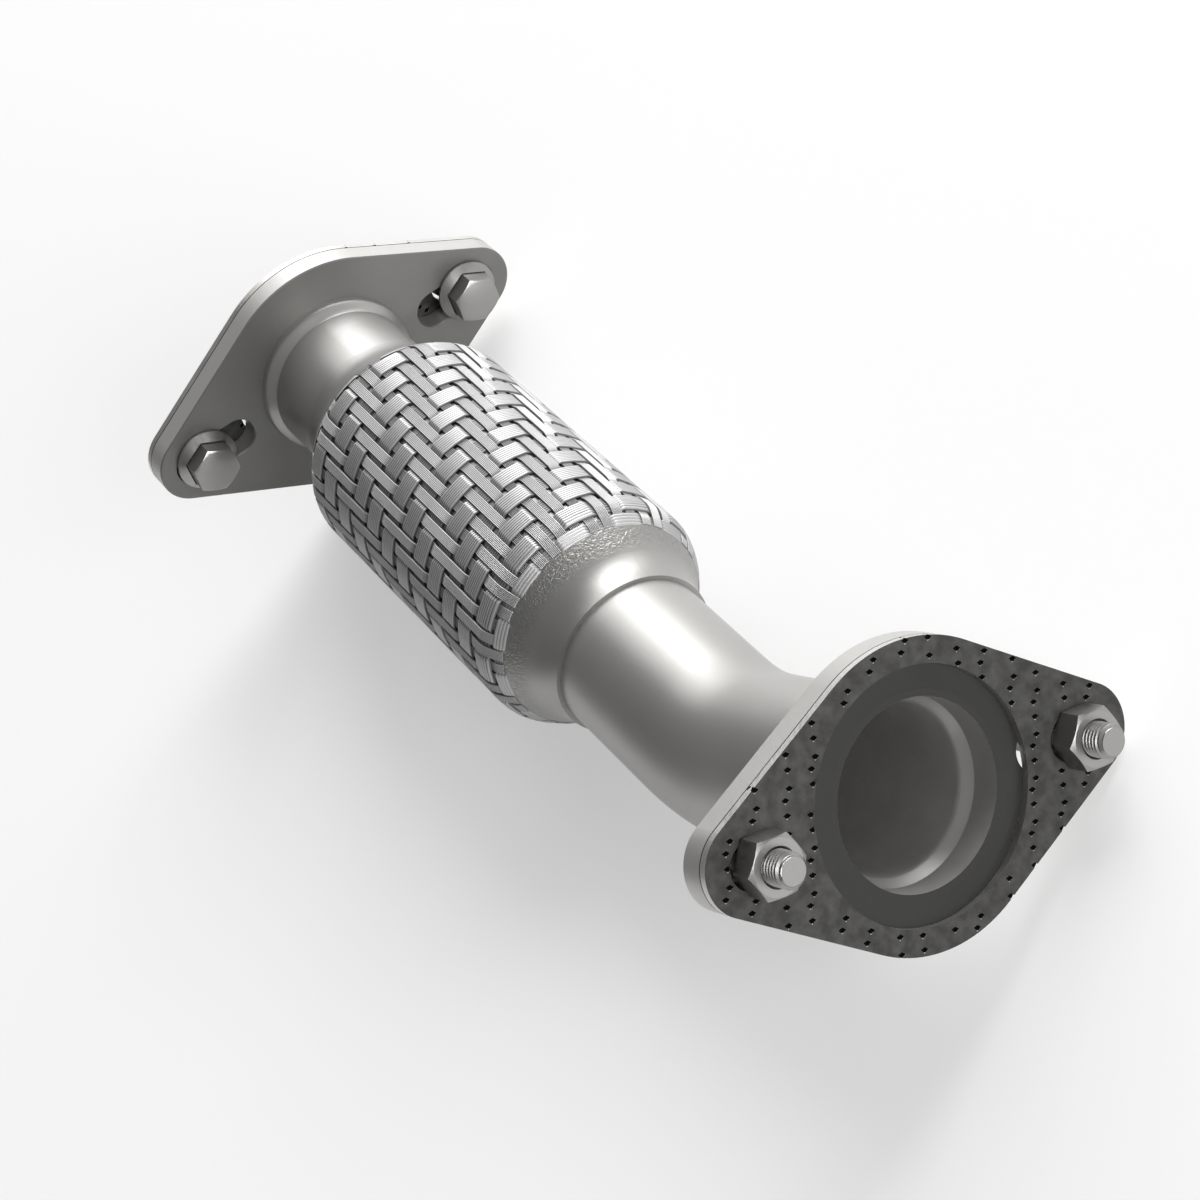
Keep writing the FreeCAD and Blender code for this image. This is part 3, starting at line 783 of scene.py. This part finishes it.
def makeGasket(end, out):
    node = f"{end}_gasket"
    shape = nodeShape(node)
    face = Vector(mounts[f"{end}_bore"]["pos_m"])
    gap = gasket["levelGap"]
    rims = []
    for part in shape.faces:
        levels = [(vert.co - face).dot(out) / gasket["thick"] for vert in part.verts]
        height = max(levels) - min(levels)
        if height > 1 - gap:
            part.material_index = rimNumber
            rims.append(part)
        elif height > gap or gap < levels[0] < 1 - gap:
            part.material_index = pitNumber
    while rims:    # a pit may cut into a rim, and the rim goes on beside it
        part = rims.pop()
        for other in (beside for edge in part.edges for beside in edge.link_faces):
            if other.material_index != rimNumber and other.normal.angle(part.normal) < gasket["rimTurn"]:
                other.material_index = rimNumber
                rims.append(other)
    pit = makePit(f"{end}TangPit", out, face + out * gasket["thick"] / 2)
    finishes = [gasketSheet, gasketRim, pit]
    newPiece(f"{end}_gasket_sheet", shape, finishes, [node], sharpAngle=10)


makeGasket("inlet", inletOut)
makeGasket("outlet", outletOut)
print("gaskets sorted")


# Flange bolts with their threads, from under the collar: the head lies below 0, the shank above

bolt = {    # in millimetres and degrees
    "crestRadius": 4.93,
    "rootRadius": 4.2,
    "pitch": 1.25,
    "length": 25.0,
    "point": 1.0,
    "pointInset": 0.4,       # the shank's end inside the thread's root
    "shankStart": -1.0,
    "threadLead": 0.6,       # the thread begins this far inside the head
    "threadEndGap": 0.02,
    "toothSunk": 0.15,       # below the root
    "toothCrest": (0.52, 0.70),
    "toothFoot": 1.2,
    "turnSteps": 36,
    "flats": 15.0,
    "headHeight": 9.5,
    "neckHeight": 0.5,       # where the flats widen into the collar
    "neckWiden": 0.4,
    "collarRadius": 10.8,
    "collarEdge": 1.6,
    "collarSlope": 1.8,
    "collarBevel": 0.3,
    "collarFoot": 0.5,
    "faceRadius": 7.1,
    "bevelAngle": 30.0,
    "headSteps": 48,
    "toothDepth": 0.25,
    "toothInner": 7.0,
    "recessRadius": 6.4,
    "recessDepth": 0.3,
    "flangeThick": 8.0,
}


def hexRadius(flats, angle):
    return flats / 2 / math.cos((angle + math.pi / 6) % (math.pi / 3) - math.pi / 6)


def ringStack(shape, steps, rings):    # (radius, height), each a number or a function of the angle
    def value(thing, angle):
        return thing(angle) if callable(thing) else thing

    made = bmesh.ops.create_circle(shape, cap_ends=False, segments=steps, radius=1.0)
    ring = list(made["verts"])
    edges = [edge for edge in shape.edges if edge.verts[0] in ring]
    for number, (radius, height) in enumerate(rings):
        if number:
            made = bmesh.ops.extrude_edge_only(shape, edges=edges)["geom"]
            ring = [part for part in made if isinstance(part, bmesh.types.BMVert)]
            edges = [part for part in made if isinstance(part, bmesh.types.BMEdge)
                     and part.verts[0] in ring and part.verts[1] in ring]
        for vert in ring:
            angle = math.atan2(vert.co.y, vert.co.x)
            reach = value(radius, angle)
            vert.co = (reach * math.cos(angle), reach * math.sin(angle), value(height, angle))
    bmesh.ops.holes_fill(shape, edges=[edge for edge in shape.edges if edge.is_boundary], sides=0)


def boltHead(shape):
    top = -bolt["headHeight"]
    slope = -bolt["collarEdge"] - bolt["collarSlope"]
    rim, bevel = bolt["collarRadius"], bolt["collarBevel"]
    slant = math.tan(math.radians(bolt["bevelAngle"]))
    tooth = 2 * math.pi / bolt["headSteps"]

    def side(angle):
        return hexRadius(bolt["flats"], angle)

    def topEdge(angle):
        return top + (side(angle) - bolt["faceRadius"]) * slant

    def neck(angle):
        return side(angle) + bolt["neckWiden"]

    def toothed(angle):
        return -bolt["toothDepth"] * (round(angle / tooth) % 2)

    ringStack(shape, bolt["headSteps"], (
        (bolt["faceRadius"], top),
        (side, topEdge),
        (side, slope + bolt["neckHeight"]),
        (neck, slope),
        (rim - bevel, -bolt["collarEdge"]),
        (rim, -bolt["collarEdge"] + bevel),
        (rim, -bolt["collarFoot"]),
        (rim - bevel, toothed),
        (bolt["toothInner"], toothed),
        (bolt["recessRadius"], -bolt["recessDepth"]),
        (bolt["crestRadius"], -bolt["recessDepth"]),
    ))


def boltShank(shape):
    length, root, crest = bolt["length"], bolt["rootRadius"], bolt["crestRadius"]
    pointStart = length - bolt["point"]
    inset, lead, sunk = bolt["pointInset"], bolt["threadLead"], root - bolt["toothSunk"]
    ringStack(shape, bolt["turnSteps"], (
        (root, bolt["shankStart"]), (root, pointStart + crest - root - inset), (root - inset, length)))
    turns = int((length + lead) / bolt["pitch"])
    tooth = [(sunk, 0.0), *((crest, height) for height in bolt["toothCrest"]), (sunk, bolt["toothFoot"])]
    before = set(shape.verts)
    corners = [shape.verts.new((radius, 0, height)) for radius, height in tooth]
    face = shape.faces.new(corners)
    bmesh.ops.spin(
        shape, geom=[face] + face.edges[:] + corners, cent=(0, 0, 0), axis=(0, 0, 1),
        dvec=(0, 0, bolt["pitch"] / bolt["turnSteps"]), angle=2 * math.pi * turns,
        steps=turns * bolt["turnSteps"])
    for vert in shape.verts:
        if vert not in before:
            vert.co.z -= lead
            radius = math.hypot(vert.co.x, vert.co.y)
            limit = crest - max(0.0, vert.co.z - pointStart)
            if radius > limit:
                vert.co.x *= limit / radius
                vert.co.y *= limit / radius
            vert.co.z = min(vert.co.z, length - bolt["threadEndGap"])


def makeBolt(end, number, out):
    shape = bmesh.new()
    boltHead(shape)
    boltShank(shape)
    bmesh.ops.recalc_face_normals(shape, faces=shape.faces)
    nut = boxMiddle(f"{end}_nut_{number}")
    across = (nut - boxMiddle(f"{end}_nut_{3 - number}")).normalized()
    face = Vector(mounts[f"{end}_bore"]["pos_m"])
    outside = nut - out * ((nut - face).dot(out) + bolt["flangeThick"] / 1000)
    place = axesMatrix(outside, across, out.cross(across))
    bmesh.ops.transform(shape, matrix=place @ millimetres, verts=shape.verts)
    node = f"{end}_bolt_{number}"
    newPiece(node + "_threaded", shape, [boltSteel], [node])


for endName, outward in (("inlet", inletOut), ("outlet", outletOut)):
    for boltNumber in (1, 2):
        makeBolt(endName, boltNumber, outward)
print("bolts threaded")


# Floor, lights and camera

studio = {
    "floorMiddle": (0.17, 0),
    "floorSize": 8.0,
    "floorGap": 0.0002,
    "floorShade": 0.55,
    "floorLift": 0.42,
    "worldShade": 0.19,
    "lampAim": (0.17, 0.01, 0.0),
    "lampDistance": 4.0,
    "lampSize": 2.57,
    "lamps": {    # where each lamp stands from the aim, and its power
        "keyLamp": ((-0.35, 0.75, 0.56), 120),
        "lowLamp": ((-0.2, 0.95, 0.25), 38),
        "farLamp": ((-0.75, 0.35, 0.56), 30),
        "edgeLamp": ((-0.75, 0.57, 0.31), 30),
        "frontLamp": ((0.9, 0.3, 0.3), 112),
    },
}


def makeFloorPaint():    # lit like any floor, and lifted where a view or a reflection meets it
    paint = bpy.data.materials.new("floorPaint")
    paint.use_nodes = True
    tree = paint.node_tree
    tree.nodes.clear()
    out = tree.nodes.new("ShaderNodeOutputMaterial")
    spread = tree.nodes.new("ShaderNodeBsdfDiffuse")
    spread.inputs["Color"].default_value = (*[studio["floorShade"]] * 3, 1)
    glow = tree.nodes.new("ShaderNodeEmission")
    rays = tree.nodes.new("ShaderNodeLightPath")
    seen = mathNode(tree, "MAXIMUM", rays.outputs["Is Camera Ray"], rays.outputs["Is Glossy Ray"])
    seen = mathNode(tree, "MAXIMUM", seen, rays.outputs["Is Transmission Ray"])
    tree.links.new(mathNode(tree, "MULTIPLY", seen, studio["floorLift"]), glow.inputs["Strength"])
    both = tree.nodes.new("ShaderNodeAddShader")
    tree.links.new(spread.outputs[0], both.inputs[0])
    tree.links.new(glow.outputs[0], both.inputs[1])
    tree.links.new(both.outputs[0], out.inputs["Surface"])
    return paint


def makeFloor():
    shape = bmesh.new()
    bmesh.ops.create_grid(shape, x_segments=1, y_segments=1, size=studio["floorSize"] / 2)
    mesh = bpy.data.meshes.new("floor")
    shape.to_mesh(mesh)
    shape.free()
    mesh.materials.append(makeFloorPaint())
    floor = bpy.data.objects.new("floor", mesh)
    bpy.context.scene.collection.objects.link(floor)
    floor.location = (*studio["floorMiddle"], solidBox[0].z - studio["floorGap"])


def makeLamp(name, direction, power):
    data = bpy.data.lights.new(name, "AREA")
    data.shape = "DISK"
    data.size = studio["lampSize"]
    data.energy = power
    lamp = bpy.data.objects.new(name, data)
    bpy.context.scene.collection.objects.link(lamp)
    away = Vector(direction).normalized()
    lamp.location = Vector(studio["lampAim"]) + away * studio["lampDistance"]
    lamp.rotation_euler = away.to_track_quat("Z", "Y").to_euler()


def makeWorld():
    world = bpy.data.worlds.new("studio")
    bpy.context.scene.world = world
    world.use_nodes = True
    sky = world.node_tree.nodes["Background"]
    sky.inputs["Color"].default_value = (1, 1, 1, 1)
    sky.inputs["Strength"].default_value = studio["worldShade"]


makeFloor()
makeWorld()
for lampName, (lampDirection, lampPower) in studio["lamps"].items():
    makeLamp(lampName, lampDirection, lampPower)

camera = {
    "place": (0.8715, 0.0668, 0.6536),
    "aim": (0.1828, 0.0055, 0.0022),
    "roll": -54.0,
    "lens": 94.95,
    "sensor": 36.0,
}
cameraData = bpy.data.cameras.new("camera")
cameraData.lens = camera["lens"]
cameraData.sensor_width = camera["sensor"]
cameraObject = bpy.data.objects.new("camera", cameraData)
bpy.context.scene.collection.objects.link(cameraObject)
cameraObject.location = camera["place"]
look = (Vector(camera["aim"]) - Vector(camera["place"])).to_track_quat("-Z", "Y").to_matrix()
roll = Matrix.Rotation(math.radians(camera["roll"]), 3, "Z")
cameraObject.rotation_euler = (look @ roll).to_euler()
bpy.context.scene.camera = cameraObject
bpy.context.scene.view_settings.view_transform = "Standard"
print("studio set")
